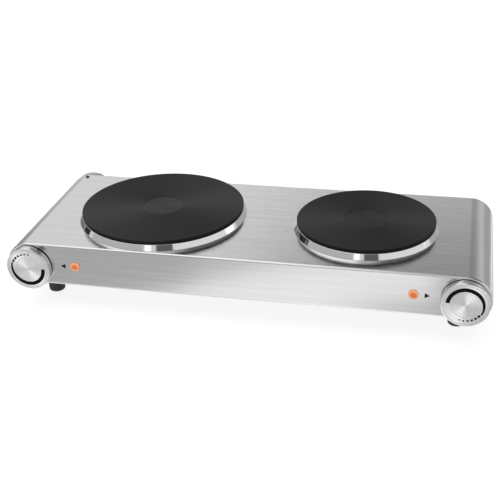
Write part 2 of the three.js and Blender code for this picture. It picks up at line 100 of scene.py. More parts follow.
def turned(profile, centre, axis, steps, closed=True):
    """A new bmesh: [radius, place on the axis] points, turned once round the axis."""
    bm = bmesh.new()
    across = Vector((1, 0, 0))
    points = [Vector(centre) + across * r + axis * h for r, h in profile]
    chain(bm, points, closed)
    bmesh.ops.spin(
        bm, geom=bm.verts[:] + bm.edges[:], cent=centre, axis=axis,
        angle=math.tau, steps=steps, use_merge=True,
    )
    bmesh.ops.remove_doubles(bm, verts=bm.verts, dist=1e-3)
    return bm


def eased(bm, edges, width, segments=3):
    """Rounds the edges."""
    bmesh.ops.bevel(
        bm, geom=edges, offset=width, offset_type="OFFSET", segments=segments, profile=0.5,
        affect="EDGES", material=-1,
    )


# %% [markdown]
# ## Finishing a piece
# Every piece ends in the same way: doubles merged, faces turned outwards, metres instead of
# millimetres, smooth shading that stays crisp at real edges, a finish, and a body to ride on.

# %% From bmesh to a piece
def mesh_object(bm, name):
    """Writes the bmesh, drawn in millimetres, as an object in metres."""
    bmesh.ops.remove_doubles(bm, verts=bm.verts, dist=1e-3)
    bmesh.ops.recalc_face_normals(bm, faces=bm.faces)
    bmesh.ops.scale(bm, vec=(1 / MM,) * 3, verts=bm.verts)
    mesh = bpy.data.meshes.new(name)
    bm.to_mesh(mesh)
    bm.free()
    made = bpy.data.objects.new(name, mesh)
    bpy.context.scene.collection.objects.link(made)
    return made


def shaded(made, sharp):
    """Smooth shading, crisp where faces meet at more than so many degrees."""
    made.data.shade_smooth()
    made.data.set_sharp_from_angle(angle=math.radians(sharp))


def finished(made, body, finish, stands_for=(), sharp=30):
    """Gives a mesh object its shading, finish, slot and body, and hides what it stands for."""
    shaded(made, sharp)
    made.data.materials.clear()
    made.data.materials.append(finish)
    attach(made, body)
    if stands_for:
        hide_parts(*stands_for)
    low, high = (Vector(f(v.co[i] for v in made.data.vertices) for i in range(3)) * MM
                 for f in (min, max))
    size = " x ".join(f"{s:.1f}" for s in high - low)
    print(f"{made.name}: {len(made.data.polygons)} faces, {size} mm")
    return made


def evened(made):
    """Lets the large faces set the shading, so that a flat face looks flat up to its bends."""
    even = made.modifiers.new("even_light", "WEIGHTED_NORMAL")
    even.mode, even.weight, even.keep_sharp = "FACE_AREA", 100, True


# %% [markdown]
# Holes are cut with Boolean modifiers, whose result is written into the mesh. The cutters are
# ordinary bmeshes that are thrown away afterwards.

# %% Cutting
def cut(made, *cutters):
    """Takes the cutters, bmeshes in millimetres, away from a mesh object."""
    tools = []
    for number, cutter in enumerate(cutters):
        tool = mesh_object(cutter, f"cutter_{number}")
        modifier = made.modifiers.new("cut", "BOOLEAN")
        modifier.operation, modifier.object, modifier.solver = "DIFFERENCE", tool, "EXACT"
        tools.append(tool)
    graph = bpy.context.evaluated_depsgraph_get()
    result = bpy.data.meshes.new_from_object(made.evaluated_get(graph))
    made.modifiers.clear()
    made.data = result
    result.name = made.name
    for tool in tools:
        bpy.data.objects.remove(tool)
    return made


def drill(radius, centre, axis, start, end, steps=48):
    """A plain round cutter along an axis."""
    profile = [(0, start), (radius, start), (radius, end), (0, end)]
    return turned(profile, centre, axis, steps, False)


# %% [markdown]
# ## Writing finishes
# A node material is easier to read as a formula. `Wire` wraps the output of a node, so that
# `0.2 + 0.1 * grain` adds the Math nodes by itself.

# %% Wires
class Wire:
    """An output of a node that can be used in arithmetic."""

    def __init__(self, tree, socket):
        self.tree, self.socket = tree, socket

    def math(self, operation, *values):
        """A Math node on the values."""
        node = self.tree.nodes.new("ShaderNodeMath")
        node.operation = operation
        for socket, value in zip(node.inputs, values):
            plug(self.tree, socket, value)
        return Wire(self.tree, node.outputs[0])

    def __add__(self, other):
        return self.math("ADD", self, other)

    def __sub__(self, other):
        return self.math("SUBTRACT", self, other)

    def __rsub__(self, other):
        return self.math("SUBTRACT", other, self)

    def __mul__(self, other):
        return self.math("MULTIPLY", self, other)

    def __truediv__(self, other):
        return self.math("DIVIDE", self, other)

    def __pow__(self, other):
        return self.math("POWER", self, other)

    def __gt__(self, other):
        return self.math("GREATER_THAN", self, other)

    def __lt__(self, other):
        return self.math("LESS_THAN", self, other)

    def __abs__(self):
        return self.math("ABSOLUTE", self)

    __radd__, __rmul__ = __add__, __mul__


def plug(tree, socket, value):
    """Links a wire to a socket, or sets its value."""
    if isinstance(value, Wire):
        tree.links.new(value.socket, socket)
    else:
        socket.default_value = value


# %% [markdown]
# `Finish` makes all other nodes. One method takes a node's type, its settings and its sockets, and
# the rest are short names for the few nodes that are used again and again.

# %% Other nodes
class Finish:
    """A node tree that is being written."""

    def __init__(self, tree):
        self.tree = tree

    def node(self, kind, settings=None, inputs=None, output=0):
        """A node of any kind: its settings first, then its sockets. Gives one output."""
        node = self.tree.nodes.new("ShaderNode" + kind)
        for key, value in (settings or {}).items():
            setattr(node, key, value)
        for key, value in (inputs or {}).items():
            plug(self.tree, node.inputs[key], value)
        return Wire(self.tree, node.outputs[output])

    def place(self):
        """Object coordinates, as three wires."""
        here = self.node("TexCoord", output="Object")
        return [self.node("SeparateXYZ", inputs={0: here}, output=i) for i in range(3)]

    def joined(self, x, y, z):
        """Three values as one vector or colour."""
        return self.node("CombineXYZ", inputs={0: x, 1: y, 2: z})

    def noise(self, x, y, z, detail):
        """Smooth random values, one patch to each unit of x, y and z."""
        inputs = {"Vector": self.joined(x, y, z), "Scale": 1.0, "Detail": detail}
        return self.node("TexNoise", {"noise_dimensions": "3D"}, inputs, "Fac")

    def between(self, factor, low, high):
        """A colour between two colours."""
        inputs = {0: factor, 6: low, 7: high}
        return self.node("Mix", {"data_type": "RGBA"}, inputs, 2)

    def smooth(self, value, low, high):
        """0 below low, 1 above high, with a soft step."""
        inputs = {"Value": value, "From Min": low, "From Max": high}
        return self.node("MapRange", {"interpolation_type": "SMOOTHSTEP"}, inputs)

    def bump(self, height, strength, distance):
        """Lets the light see a relief, up to the distance in metres."""
        inputs = {"Height": height, "Strength": strength, "Distance": distance}
        return self.node("Bump", inputs=inputs, output="Normal")


# %% [markdown]
# A finish is one Principled shader. A value that is the same all over is set on its socket, and
# what varies comes from a function that writes the nodes.

# %% One shader to a finish
def grey(value, warmth=0.0):
    """A near-neutral colour; positive warmth leans to yellow, negative to blue."""
    return (value * (1 + warmth), value, value * (1 - warmth), 1)


def surface(name, **sockets):
    """A material with one Principled shader; write(finish) gives what varies."""
    write = sockets.pop("write", None)
    material = bpy.data.materials.new(name)
    material.use_nodes = True
    tree = material.node_tree
    shader = tree.nodes["Principled BSDF"]
    values = {key.replace("_", " "): value for key, value in sockets.items()}
    if write:
        values.update(write(Finish(tree)))
    for key, value in values.items():
        plug(tree, shader.inputs[key], value)
    return material


# %% [markdown]
# ### Brushed stainless steel
# The sheet was brushed along its length before it was pressed. Long thin streaks follow X on the
# top, run over the round ends, and stay level on the front and rear. Each streak is a small groove,
# so light spreads across the streaks and much less along them. The streaks come from three noises,
# stretched from forty to two hundred times, in the colour, the roughness and the bump. The front
# and rear are rubbed smoother, so that they mirror more clearly and carry almost no bump.

# %% Brushed sheet
def brushed(finish):
    x, y, z = finish.place()
    normal = finish.node("NewGeometry", output="True Normal")
    facing = abs(finish.node("SeparateXYZ", inputs={0: normal}, output=1)) > 0.7  # front or rear
    across = y * (1 - facing) + z * facing
    layer = facing * 7  # another part of the noise on the front and rear
    fine = finish.noise(x * 12, across * 2600, layer, 3)
    broad = finish.noise(x * 7, across * 480, layer + 3, 2)
    streak = finish.noise(x * 4, across * 150, layer + 5, 2)
    return {
        "Base Color": finish.between(
            fine * 0.2 + broad * 0.45 + streak * 0.35, grey(0.53), grey(0.75)),
        "Roughness": 0.1 - 0.055 * facing + 0.05 * fine + 0.04 * broad,
        "Normal": finish.bump((fine * 0.6 + broad * 0.4) * (1 - 0.98 * facing), 0.7, 0.00013),
    }


brushed_steel = surface("brushed_steel", Metallic=1.0, write=brushed)
print(brushed_steel.name, "has", len(brushed_steel.node_tree.nodes), "nodes")

# %% [markdown]
# ### Cast iron with a turned face
# The cooking faces are faced on a lathe and coated black. The turning leaves fine rings, which
# give the fan-shaped sheen: the shader stretches the gloss across the rings. The widest rings are
# real geometry on the plates; the finer ones are drawn here as a wave of the distance from each
# plate's axis. The grain of the casting is noise.

# %% Cast iron
DISC_RADIUS = 23.5  # the rough disc in the middle of each plate
DISC_TONES = {"large": 0.026, "small": 0.017}  # it is paler than the turned face
FINE_RING = 0.7  # from one fine ring to the next


def turned_iron(centre_x, disc_tone):
    def write(finish):
        x, y, z = finish.place()
        off = x - centre_x / MM
        radius = (off * off + y * y) ** 0.5
        turns = radius * (math.tau * MM / FINE_RING)
        rings = finish.node("Math", {"operation": "SINE"}, {0: turns})
        speck = finish.noise(x * 900, y * 900, z * 900, 4)
        wear = finish.noise(x * 24, y * 24, z * 24, 3)
        disc = radius < DISC_RADIUS / MM
        return {
            "Base Color": finish.between(
                disc, finish.between(wear, grey(0.006), grey(0.011)), grey(disc_tone)),
            "Roughness": 0.36 + 0.08 * speck + 0.06 * wear + 0.3 * disc,
            "Normal": finish.bump(rings * 0.5 + speck * 0.8, 0.2, 0.00005),
        }
    return write


large_low, large_high = corners("large_hotplate")
small_low, small_high = corners("small_hotplate")
plates = {
    "large": ((large_low.x + large_high.x) / 2, (large_high.x - large_low.x) / 2),
    "small": ((small_low.x + small_high.x) / 2, (small_high.x - small_low.x) / 2),
}
iron = {
    name: surface(
        f"turned_iron_{name}", Metallic=0.0, Specular_IOR_Level=0.1, Anisotropic=0.85,
        Anisotropic_Rotation=0.25,
        write=turned_iron(x, DISC_TONES[name]),
    )
    for name, (x, _) in plates.items()
}
print({name: f"radius {r:.1f} at x {x:.1f}" for name, (x, r) in plates.items()})


# %% [markdown]
# ### Polished and spun metal
# The rings are polished to a mirror, with only a breath of wiping marks. The knobs are spun: their
# faces carry fine rings like the plates, but in bright metal.

# %% Bright metals
def mirror_finish(finish):
    x, y, z = finish.place()
    wiped = finish.noise(x * 60, y * 60, z * 25, 3)
    return {
        "Base Color": finish.between(wiped, grey(0.76), grey(0.84)),
        "Roughness": 0.035 + 0.05 * wiped,
    }


def spun(centre_x):
    def write(finish):
        x, y, z = finish.place()
        off, rise = x - centre_x / MM, z - end_z / MM
        radius = (off * off + rise * rise) ** 0.5
        line = finish.noise(radius * 5200, y * 2600, 0.0, 3)
        broad = finish.noise(radius * 700, y * 500, 4.0, 2)
        return {
            "Base Color": finish.between(broad, grey(0.66), grey(0.76)),
            "Roughness": 0.16 + 0.1 * line,
            "Normal": finish.bump(line, 0.4, 0.00006),
        }
    return write


polished_ring = surface("polished_ring", Metallic=1.0, write=mirror_finish)
spun_knob = {
    side: surface(f"spun_knob_{side}", Metallic=1.0, write=spun(sign * end_x))
    for side, sign in SIDES
}
print(polished_ring.name, "and", [knob.name for knob in spun_knob.values()])

# %% [markdown]
# ### Plain stocks
# The rest is made of ordinary materials: zinc-plated sheet and screws, rubber, black moulding,
# ceramic, brass, glass sleeve on the leads. Each has its own grain, in colour, roughness and bump.

# %% Plain stocks
def stock(name, dark, light, rough, grain, depth, metallic=0.0, **more):
    """A plain material: mottled between two colours, with a grain so many to the metre."""
    def write(finish):
        x, y, z = finish.place()
        spot = finish.noise(x * grain, y * grain, z * grain, 4)
        patch = finish.noise(x * grain / 9, y * grain / 9, z * grain / 9, 2)
        return {
            "Base Color": finish.between(spot * 0.5 + patch * 0.5, dark, light),
            "Roughness": rough - 0.06 + 0.12 * spot,
            "Normal": finish.bump(spot, 0.3, depth),
        }
    return surface(name, Metallic=metallic, write=write, **more)


zinc_sheet = stock("zinc_sheet", grey(0.42), grey(0.56, -0.02), 0.38, 220, 0.00002, 1.0)
zinc_screw = stock("zinc_screw", grey(0.5, 0.02), grey(0.66, 0.03), 0.3, 900, 0.00002, 1.0)
black_rubber = stock("black_rubber", grey(0.006), grey(0.014), 0.62, 1400, 0.00006)
black_moulding = stock("black_moulding", grey(0.012), grey(0.02), 0.42, 1600, 0.00004)
ceramic = stock("ceramic", (0.58, 0.54, 0.47, 1), (0.72, 0.69, 0.62, 1), 0.7, 700, 0.00008)
brass = stock("brass", (0.62, 0.45, 0.18, 1), (0.74, 0.56, 0.26, 1), 0.3, 800, 0.00002, 1.0)
sleeve = stock("glass_sleeve", (0.5, 0.47, 0.38, 1), (0.68, 0.65, 0.55, 1), 0.75, 2200, 0.0002)
print_ink = stock("print_ink", grey(0.002), grey(0.004), 0.6, 1500, 0.00001,
                  Specular_IOR_Level=0.08)
bulb_glass = stock("bulb_glass", (0.8, 0.42, 0.25, 1), (0.9, 0.55, 0.38, 1), 0.12, 300, 0.00001)
print(len(bpy.data.materials), "finishes so far")

# %% [markdown]
# ### The amber lens
# The lamp is off, but it is given a faint painted glow for the light that the clear amber moulding gathers. Its
# colour is a deep orange in the middle, which is painted shade of the dark holder behind it, and a pale orange
# towards its rim.

# %% Amber moulding
def amber_at(centre_x, centre_z):
    def write(finish):
        x, y, z = finish.place()
        off, rise = x - centre_x / MM, z - centre_z / MM
        radius = (off * off + rise * rise) ** 0.5
        ribs = finish.noise(x * 900, 0.0, z * 900, 2)
        # painted shade: the deep orange middle stands for the dark holder seen through the lens
        shade_and_glow_core = 1 - finish.smooth(radius + 0.0016 * ribs, 0.0033, 0.0052)
        pale, deep = (0.8, 0.34, 0.15, 1), (0.66, 0.13, 0.02, 1)
        return {
            "Base Color": finish.between(shade_and_glow_core, pale, deep),
            # painted glow: the lamp is off, yet the lens emits its own orange light, deeper in the middle
            "Emission Color": finish.between(shade_and_glow_core, (0.9, 0.4, 0.2, 1), (0.7, 0.08, 0.0, 1)),
            "Roughness": 0.16 + 0.1 * ribs,
        }
    return write


# %% [markdown]
# ## The housing
# One sheet of steel, pressed into a flat top with round ends and closed in front and behind. The
# outline starts as one arc, spun about the axis of the right end and mirrored to the left. The arcs
# are joined, filled, pushed back through the depth of the body and rounded along the front and rear
# edges. A second, smaller body of the same form is then taken out of it, which leaves a wall of
# even thickness.

# %% A body with round ends
LIP_RISE = face_bottom - (end_z - end_radius)  # the flat bottom stands above the round ends
FRONT_BEND, REAR_BEND = 2.2, 5.5  # radius of the bends along the front and rear edges
print(f"the flat bottom is {LIP_RISE:.1f} mm above the lowest line of the round ends")


def long_body(inset, bends, steps):
    """The outline of the housing, taken in on every side, as a closed body."""
    radius = end_radius - inset
    lip = math.asin((end_radius - LIP_RISE) / radius)
    bm = bmesh.new()
    start = bm.verts.new((end_x, front + inset, end_z + radius))
    bmesh.ops.spin(
        bm, geom=[start], cent=(end_x, front, end_z), axis=BACK,
        angle=math.pi * 1.5 - lip, steps=steps, use_merge=False,
    )
    bmesh.ops.mirror(bm, geom=bm.verts[:] + bm.edges[:], matrix=Matrix(), merge_dist=0, axis="X")
    bm.verts.ensure_lookup_table()
    highest = [v for v in bm.verts if v.co.z > end_z + radius - 1e-3]
    lowest = [v for v in bm.verts if abs(v.co.x) < end_x and v.co.z < end_z
              and len(v.link_edges) == 1]
    bm.edges.new(highest)
    bm.edges.new(lowest)
    wall = bmesh.ops.contextual_create(bm, geom=bm.edges[:])["faces"]
    pushed = bmesh.ops.extrude_face_region(bm, geom=wall)["geom"]
    depth = rear - front - 2 * inset
    moved = [v for v in pushed if isinstance(v, bmesh.types.BMVert)]
    bmesh.ops.translate(bm, vec=BACK * depth, verts=moved)
    bmesh.ops.recalc_face_normals(bm, faces=bm.faces)
    for place, bend in bends:
        rims = [e for e in bm.edges if all(abs(v.co.y - place) < 1e-3 for v in e.verts)]
        eased(bm, rims, bend, 5)
    return bm


def slab(low, high):
    """A box between two corners, in millimetres."""
    low, high = Vector(low), Vector(high)
    bm = bmesh.new()
    bmesh.ops.create_cube(bm, size=1)
    bmesh.ops.scale(bm, vec=high - low, verts=bm.verts)
    bmesh.ops.translate(bm, vec=(low + high) / 2, verts=bm.verts)
    return bm


# %% [markdown]
# The sheet is pierced for everything that goes through it: the plates in the top, the lamps and the
# bushes of the regulators in the front, the cord cap in the rear, and the screw that holds the cap.
# The wide mouth below is closed by the base plate.

# %% Press and pierce the housing
CLEAR = 0.3  # air round a piece that goes through a hole
LEDGE = 4.5  # the hole under a plate has a radius this much smaller
LENS_HOLE, BUSH_HOLE, CAP_HOLE, SCREW_HOLE = 4.2, 5.4, 24.9, 1.7  # radii
lip_x = end_x - math.sqrt(end_radius ** 2 - (end_radius - LIP_RISE) ** 2)
bends = [(front, FRONT_BEND), (rear, REAR_BEND)]
housing = mesh_object(long_body(0, bends, 64), "housing")
inner_front, inner_rear = front + sheet, rear - sheet
mouth = slab((-lip_x, inner_front, face_bottom - 4), (lip_x, inner_rear, face_bottom + 6))
holes = [drill(r - LEDGE, (x, 0, 0), UP, top - 5, top + 5, 96) for x, r in plates.values()]
for side, sign in SIDES:
    lens_low, lens_high = corners(f"{side}_lamp_lens")
    middle = (lens_low + lens_high) / 2
    holes.append(drill(LENS_HOLE, (middle.x, 0, middle.z), BACK, front - 3, front + 3, 32))
    holes.append(drill(BUSH_HOLE, (sign * end_x, 0, end_z), BACK, front - 3, front + 3, 32))
cap_low, cap_high = corners("cord_cap")
holes.append(drill(CAP_HOLE, (-end_x, 0, end_z), BACK, rear - 3, rear + 3, 64))
screw_low, screw_high = corners("cord_cap_screw")
screw_at = (screw_low + screw_high) / 2
holes.append(drill(SCREW_HOLE, (screw_at.x, screw_at.y, 0), UP, top - 4, top + 4, 24))
inner_bends = [(inner_rear, REAR_BEND - sheet)]
cut(housing, long_body(sheet, inner_bends, 64), mouth, *holes)
finished(housing, "housing", brushed_steel, ["housing_shell"], 25)
evened(housing)

# %% [markdown]
# ## The cooking plates
# Each plate is one iron casting with a turned face. The lathe tool leaves real rings, about a
# millimetre apart, and these are modelled, because they make the sheen turn with the light. The
# middle is a shallow disc that stays rough and carries no rings.

# %% Turn the plates
RING_PITCH, RING_DEPTH = 1.1, 0.035
DISC_DEPTH = 0.5
SKIRT, SKIRT_WALL = 3.9, 2  # height and thickness of the rim that overhangs the ring


def plate_profile(radius, face, foot):
    """Half of the section of a plate: disc, turned face, eased rim, skirt and web."""
    points = [(0, face - DISC_DEPTH), (DISC_RADIUS - 0.3, face - DISC_DEPTH),
              (DISC_RADIUS + 0.1, face - 0.35), (DISC_RADIUS + 0.5, face - 0.05)]
    start, end = DISC_RADIUS + 0.9, radius - 0.6
    count = round((end - start) / RING_PITCH)
    pitch = (end - start) / count
    for ring in range(count):
        points.append((start + ring * pitch, face))
        points.append((start + (ring + 0.5) * pitch, face - RING_DEPTH))
    points += [
        (end, face), (radius - 0.25, face - 0.1), (radius - 0.05, face - 0.3),
        (radius, face - 0.65), (radius, face - SKIRT), (radius - SKIRT_WALL, face - SKIRT),
        (radius - SKIRT_WALL, top + 1), (radius - 6, top + 1), (radius - 6, foot),
        (radius - 12, foot), (radius - 12, face - 8), (0, face - 8),
    ]
    return points


for name, (x, radius) in plates.items():
    face = corners(f"{name}_hotplate")[1].z
    bm = turned(plate_profile(radius, face, top - 4), (x, 0, 0), UP, 160, False)
    plate = mesh_object(bm, f"{name}_plate")
    finished(plate, "housing", iron[name], [f"{name}_hotplate"], 3.2)

# %% [markdown]
# ## The trim rings
# A thin band of polished steel closes the gap between plate and sheet. Its top is turned in over
# the plate's step, and its wall spreads evenly down to the sheet, like a slice of a cone.

# %% Spin the rings
TURNED_IN, SPREAD, BAND = 1.7, 3.4, 0.8  # lip under the plate, spread at the foot, thickness
for name, (x, radius) in plates.items():
    ring_top, ring_foot = corners(f"{name}_trim_ring")[1].z, top + 0.03
    bm = turned(
        [(radius - TURNED_IN, ring_top), (radius + 0.1, ring_top),
         (radius + SPREAD, ring_foot + 0.25), (radius + SPREAD, ring_foot),
         (radius + SPREAD - 1, ring_foot), (radius - 0.6, ring_top - BAND),
         (radius - TURNED_IN, ring_top - BAND)],
        (x, 0, 0), UP, 192,
    )
    shoulder = [e for e in bm.edges
                if abs((e.verts[0].co - e.verts[1].co).z) < 1e-4
                and abs(e.verts[0].co.z - ring_top) < 1e-3
                and (e.verts[0].co - Vector((x, 0, ring_top))).length > radius]
    eased(bm, shoulder, 0.35, 3)
    ring = mesh_object(bm, f"{name}_ring")
    finished(ring, "housing", polished_ring, [f"{name}_trim_ring"], 25)
    evened(ring)

# %% [markdown]
# ## The knobs
# A knob is a shallow metal cup with an eased edge. Its face is spun, and the rings are modelled
# like those of the plates, but finer and of uneven depth, so that the sheen breaks up.

# %% Spin the knobs
KNOB_PITCH, KNOB_DEPTH = 0.55, 0.07
CUP_WALL = 1.0
SHADOW_GAP = 0.6  # the cup ends this much before its node does, which shows as a dark line
for side, sign in SIDES:
    low, high = corners(f"{side}_knob")
    radius, face, rim = (high.x - low.x) / 2, low.y, high.y - SHADOW_GAP
    points = [(0, face)]
    count = round((radius - 2) / KNOB_PITCH)
    for ring in range(count):
        depth = KNOB_DEPTH * (0.5 + 0.5 * math.sin(2.4 * ring))
        points.append(((ring + 0.5) * KNOB_PITCH, face + depth))
        points.append(((ring + 1) * KNOB_PITCH, face))
    points += [
        (radius - 1.5, face), (radius - 0.75, face + 0.1), (radius - 0.25, face + 0.4),
        (radius, face + 1.0), (radius, rim - 0.3), (radius - 0.3, rim),
        (radius - CUP_WALL, rim), (radius - CUP_WALL, face + CUP_WALL), (0, face + CUP_WALL),
    ]
    knob = mesh_object(turned(points, (sign * end_x, 0, end_z), BACK, 128, False), f"{side}_dial")
    finished(knob, f"{side}_control", spun_knob[side], [f"{side}_knob"], 3.5)

# %% [markdown]
# The scale is printed on the face in black: a band that narrows from a cut end to a thin tail,
# and six dashes that shrink. Here it is a very thin raised layer. The band is a short line spun
# about the axis, whose inner side is then moved to the width that the band has at each angle.

# %% Measures of the scale
INK = 0.06  # height of the printed layer
OUTER = 20.0  # outer radius of the scale
BAND_START, BAND_END = 176.0, -31.0  # degrees, anticlockwise from the right, seen from the front
LEFT_TURN = 188.0  # the left scale is the right one turned by this much
BAND_WIDTHS = ((176, 4.2), (60, 4.2), (50, 4.0), (31, 3.7), (20, 3.4), (8, 2.9), (-4, 2.6),
               (-16, 2.0), (-27, 1.7), (-31, 1.5))
DASH_COUNT, DASH_FIRST, DASH_STEP = 6, -39.0, 13.4  # degrees from dash to dash
DASH_HALF, DASH_WIDTH = (4.8, -0.45), (2.5, -0.2)  # of the first dash, and the change to the next


def band_width(angle):
    """Width of the band at an angle, between the places where it is known."""
    for (a, wide), (b, thin) in zip(BAND_WIDTHS, BAND_WIDTHS[1:]):
        if angle >= b:
            return thin + (wide - thin) * min(1, (angle - b) / (a - b))
    return BAND_WIDTHS[-1][1]


# %% A flat strip round the axis
def arc_strip(bm, centre, start, end, outer, width):
    """A flat strip round the centre, from one angle to another, seen from the front."""
    toward = Vector((math.cos(math.radians(start)), 0, math.sin(math.radians(start))))
    at = Vector(centre)
    ends = chain(bm, [at + toward * (outer - width(start)), at + toward * outer])
    steps = max(2, round(abs(start - end) / 3))
    line = ends[0].link_edges[:]
    before = set(bm.verts) - set(ends)
    bmesh.ops.spin(
        bm, geom=ends + line, cent=at, axis=-BACK, angle=math.radians(end - start), steps=steps,
        use_merge=False,
    )
    for vert in set(bm.verts) - before:
        arm = vert.co - at
        if arm.length < outer - 0.01:
            angle = math.degrees(math.atan2(arm.z, arm.x))
            past = (start - angle) % 360
            wide = width(start - min(past, start - end) if past < 300 else start)
            vert.co = at + arm.normalized() * (outer - wide)


# %% Raise the layer and lay it on both dials
def raised(bm, height):
    """Gives flat faces a thickness towards the front."""
    pushed = bmesh.ops.extrude_face_region(bm, geom=bm.faces[:])["geom"]
    verts = [v for v in pushed if isinstance(v, bmesh.types.BMVert)]
    bmesh.ops.translate(bm, vec=-BACK * height, verts=verts)


def scale_of(side, sign, turn):
    """The whole scale of one knob, turned by so many degrees."""
    face = corners(f"{side}_knob")[0].y
    centre = (sign * end_x, face, end_z)
    bm = bmesh.new()
    arc_strip(bm, centre, BAND_START, BAND_END, OUTER, band_width)
    for dash in range(DASH_COUNT):
        middle = DASH_FIRST - dash * DASH_STEP
        half = DASH_HALF[0] + DASH_HALF[1] * dash
        thick = DASH_WIDTH[0] + DASH_WIDTH[1] * dash
        arc_strip(bm, centre, middle + half, middle - half, OUTER - 0.3 - 0.12 * dash,
                  lambda _, thick=thick: thick)
    raised(bm, INK)
    bmesh.ops.rotate(
        bm, cent=centre, matrix=Matrix.Rotation(math.radians(-turn), 3, "Y"), verts=bm.verts,
    )
    scale = mesh_object(bm, f"{side}_scale")
    return finished(scale, f"{side}_control", print_ink)


scale_of("right", 1, 0)
scale_of("left", -1, LEFT_TURN)

# %% [markdown]
# ## Pointers beside the lamps
# A small black triangle beside each lamp points at its knob. It is printed too.

# %% Print the pointers
TIP, BASE, HALF_BASE = 203.0, 197.6, 2.9  # places along X, and half the height
level = top - 25
for side, sign in SIDES:
    bm = bmesh.new()
    chain(bm, [(sign * TIP, front, level), (sign * BASE, front, level + HALF_BASE),
               (sign * BASE, front, level - HALF_BASE)], True)
    bmesh.ops.contextual_create(bm, geom=bm.edges[:])
    raised(bm, INK)
    finished(mesh_object(bm, f"{side}_pointer"), "housing", print_ink)

# %% [markdown]
# ## Signal lamps
# Each lens is a low dome on a stem that goes through the front. The dome is a short arc, spun round
# the lamp's axis.

# %% Mould the lenses
BULGE, STEM = 1.6, LENS_HOLE - CLEAR  # height of the dome, radius of the stem
for side, _ in SIDES:
    low, high = corners(f"{side}_lamp_lens")
    middle = (low + high) / 2
    radius, tip, seat = (high.x - low.x) / 2, low.y, front - CLEAR
    dome = [(radius * math.sin(a), tip + BULGE * (1 - math.cos(a)))
            for a in (math.radians(s * 11) for s in range(8))]
    bm = turned(
        [*dome, (radius, seat - 0.5), (radius, seat), (STEM, seat), (STEM, high.y), (0, high.y)],
        (middle.x, 0, middle.z), BACK, 48, False,
    )
    # painted glow: a faint emission on a lamp that is off
    amber = surface(
        f"amber_{side}", Emission_Strength=0.06, Coat_Weight=0.6, Coat_Roughness=0.08,
        write=amber_at(middle.x, middle.z),
    )
    finished(mesh_object(bm, f"{side}_lens"), "housing", amber,
             [f"{side}_lamp_lens"], 35)

# %% [markdown]
# ## Feet
# Black rubber feet stand under the round ends. Each is a short tapered plug with a rounded sole,
# a hollow for its screw, and a top that is cut to the curve of the steel above it.

# %% Mould the feet
HOLLOW, SCREW_BORE, HOLLOW_TOP = 4.6, 2.3, 10  # radii, and where the screw's head sits
for end in ("front", "rear"):
    for side, sign in SIDES:
        node = f"foot_{end}_{side}"
        low, high = corners(node)
        middle = (low + high) / 2
        radius = (high.x - low.x) / 2
        sole = radius - 0.9
        bm = turned(
            [(HOLLOW, HOLLOW_TOP), (HOLLOW, 0.6), (HOLLOW + 0.6, 0), (sole - 2.2, 0),
             (sole - 0.9, 0.3), (sole - 0.2, 1.1), (sole + 0.05, 2.2), (radius, high.z - 0.6),
             (radius - 0.5, high.z), (SCREW_BORE, high.z), (SCREW_BORE, HOLLOW_TOP)],
            (middle.x, middle.y, 0), UP, 64,
        )
        plug_of_rubber = mesh_object(bm, f"rubber_foot_{end}_{side}")
        curve = drill(end_radius + CLEAR, (sign * end_x, 0, end_z), BACK, middle.y - 16,
                      middle.y + 16, 128)
        cut(plug_of_rubber, curve)
        finished(plug_of_rubber, "housing", black_rubber, [node], 30)

# %% [markdown]
# ## The cord cap
# A round cap closes the rear of the left end, where the supply cord goes in through a gland.

# %% Turn the cap and its gland
SPIGOT, SPIGOT_BORE = 24.6, 22.1  # radii of the neck that goes into the round end
CAP_WALL = 2.5
GLAND, GLAND_BORE, GLAND_FLANGE = 6.7, 3.6, 9.2  # radii
cap_radius = (cap_high.x - cap_low.x) / 2
cap_face, cap_foot = cap_high.y, rear + CLEAR
gland_end = corners("cord_gland")[0].y
bm = turned(
    [(GLAND + CLEAR, cap_face), (cap_radius - 2.4, cap_face),
     (cap_radius - 1.0, cap_face - 0.35), (cap_radius - 0.2, cap_face - 1.2),
     (cap_radius, cap_face - 2.2), (cap_radius, cap_foot), (SPIGOT, cap_foot),
     (SPIGOT, cap_low.y), (SPIGOT_BORE, cap_low.y), (SPIGOT_BORE, cap_face - CAP_WALL),
     (GLAND + CLEAR, cap_face - CAP_WALL)],
    (-end_x, 0, end_z), BACK, 96,
)
cap = mesh_object(bm, "rear_cap")
cut(cap, drill(SCREW_HOLE, (screw_at.x, screw_at.y, 0), UP, end_z, top, 24))
finished(cap, "housing", zinc_sheet, ["cord_cap"], 35)
bm = turned(
    [(GLAND_BORE, cap_face - 0.3), (GLAND_BORE + 0.6, cap_face), (GLAND - 0.4, cap_face),
     (GLAND, cap_face - 0.5), (GLAND, cap_face - CAP_WALL - CLEAR),
     (GLAND_FLANGE, cap_face - CAP_WALL - CLEAR), (GLAND_FLANGE, gland_end),
     (GLAND_BORE, gland_end)],
    (-end_x, 0, end_z), BACK, 48,
)
finished(mesh_object(bm, "gland"), "housing", black_rubber, ["cord_gland"], 35)

# %% [markdown]
# ## Everything that is kept from the frame
# The inner pieces and the base are right as they are. Each gets the finish of its stock.

# %% Finish the kept nodes
by_slot = {
    "galvanised": zinc_sheet, "rubber": black_rubber, "zinc": zinc_screw,
    "black_plastic": black_moulding, "ceramic": ceramic, "brass": brass,
    "bulb_glass": bulb_glass, "lead_sleeve": sleeve, "stainless": brushed_steel,
    "cast_iron": iron["large"], "chrome": polished_ring, "spun_metal": spun_knob["left"],
    "amber": bulb_glass,
}
slot_of = {part["node"]: part["material_slot"] for part in frame["record"]["subparts"]}
for name, node in frame["nodes"].items():
    node.data.materials.clear()
    node.data.materials.append(by_slot[slot_of[name]])
print(len(slot_of), "nodes have a finish")

